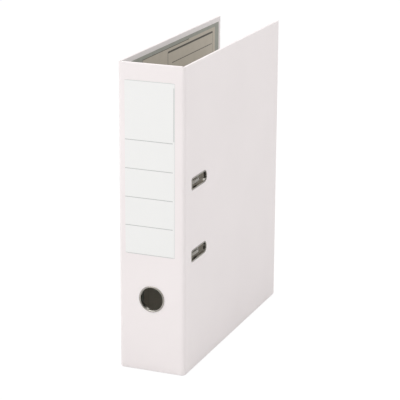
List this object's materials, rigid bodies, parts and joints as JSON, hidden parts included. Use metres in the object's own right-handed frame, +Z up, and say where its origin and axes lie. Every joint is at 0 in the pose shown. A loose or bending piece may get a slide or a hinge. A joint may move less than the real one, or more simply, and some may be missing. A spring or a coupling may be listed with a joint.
{
  "type": "lever arch file",
  "caption": "Standing foolscap lever arch file with hinged board covers, finger ring, spine label, slotted front cover and a lever-operated two-arch mechanism.",
  "frame": {"origin": "middle of the closed file's footprint, at the bottom edges of the covers", "axes": "+Z up along the spine, -Y out of the spine, +X out of the front cover"},
  "size_m": [0.0774, 0.2869, 0.34],
  "materials": {
    "covering_film": "fine matte embossed off-white film",
    "grey_board": "plain recycled board",
    "lining_paper": "uncoated warm grey paper",
    "label_paper": "smooth white label paper",
    "index_paper": "uncoated warm grey paper with a printed frame",
    "nickel_trim": "nickel plated, bright",
    "plated_sheet": "nickel plated pressed sheet",
    "bright_wire": "nickel plated drawn wire",
    "plated_pins": "zinc plated",
    "spring_steel": "blued spring steel",
    "roller_plastic": "natural acetal"
  },
  "bodies": {
    "rear_cover": {"rear_covering": "covering_film", "rear_board": "grey_board", "rear_lining": "lining_paper", "index_sheet": "index_paper", "base_plate": "plated_sheet", "post_lower": "bright_wire", "post_upper": "bright_wire", "case_rivets": "plated_pins", "lever_pin": "plated_pins", "leaf_spring": "spring_steel", "spring_rivet": "plated_pins"},
    "spine": {"spine_covering": "covering_film", "spine_board": "grey_board", "spine_lining": "lining_paper", "spine_label": "label_paper", "finger_ring": "nickel_trim", "finger_ring_washer": "nickel_trim", "rear_hinge_strip": "covering_film", "front_hinge_strip": "covering_film"},
    "front_cover": {"front_covering": "covering_film", "front_board": "grey_board", "front_lining": "lining_paper", "slot_eyelet_lower": "nickel_trim", "slot_eyelet_upper": "nickel_trim", "slot_backing_lower": "nickel_trim", "slot_backing_upper": "nickel_trim"},
    "arches": {"arch_wire": "bright_wire"},
    "lever_arm": {"lever": "plated_sheet", "roller_pin": "plated_pins"},
    "roller_wheel": {"roller": "roller_plastic"},
    "compressor": {"compressor_bar": "plated_sheet", "catch_pin_lower": "plated_pins", "catch_pin_upper": "plated_pins"},
    "lower_catch": {"catch_lower": "plated_sheet"},
    "upper_catch": {"catch_upper": "plated_sheet"}
  },
  "joints": [
    {"name": "spine_fold", "type": "hinge", "parent": "rear_cover", "child": "spine", "pos_m": [-0.03714, -0.14214, 0], "axis": [0, 0, -1], "range_deg": [0, 90], "deforming": ["rear_hinge_strip"]},
    {"name": "front_cover_open", "type": "hinge", "parent": "spine", "child": "front_cover", "pos_m": [0.03714, -0.14214, 0], "axis": [0, 0, -1], "range_deg": [0, 90], "deforming": ["front_hinge_strip"]},
    {"name": "arch_swing", "type": "hinge", "parent": "rear_cover", "child": "arches", "pos_m": [-0.0309, -0.122, 0.17], "axis": [0, 0, -1], "range_deg": [0, 40], "deforming": ["leaf_spring"]},
    {"name": "lever_lift", "type": "hinge", "parent": "rear_cover", "child": "lever_arm", "pos_m": [-0.0169, -0.11, 0.181], "axis": [0, -1, 0], "range_deg": [0, 90]},
    {"name": "roller_spin", "type": "hinge", "parent": "lever_arm", "child": "roller_wheel", "pos_m": [-0.0247, -0.11, 0.1765], "axis": [0, 1, 0], "continuous": true},
    {"name": "compressor_slide", "type": "slide", "parent": "rear_cover", "child": "compressor", "axis": [1, 0, 0], "range_m": [0, 0.022]},
    {"name": "lower_catch_press", "type": "hinge", "parent": "compressor", "child": "lower_catch", "pos_m": [-0.0263, -0.095, 0.139], "axis": [0, 1, 0], "range_deg": [0, 8], "stiffness_Nm_per_rad": 0.05, "springref_deg": -5.73},
    {"name": "upper_catch_press", "type": "hinge", "parent": "compressor", "child": "upper_catch", "pos_m": [-0.0263, -0.095, 0.201], "axis": [0, -1, 0], "range_deg": [0, 8], "stiffness_Nm_per_rad": 0.05, "springref_deg": -5.73}
  ],
  "couplings": [
    {"joint": "spine_fold", "follows": "front_cover_open", "ratio": 1},
    {"joint": "arch_swing", "follows": "front_cover_open", "ratio": 0.44444},
    {"joint": "lever_lift", "follows": "front_cover_open", "ratio": 1}
  ]
}
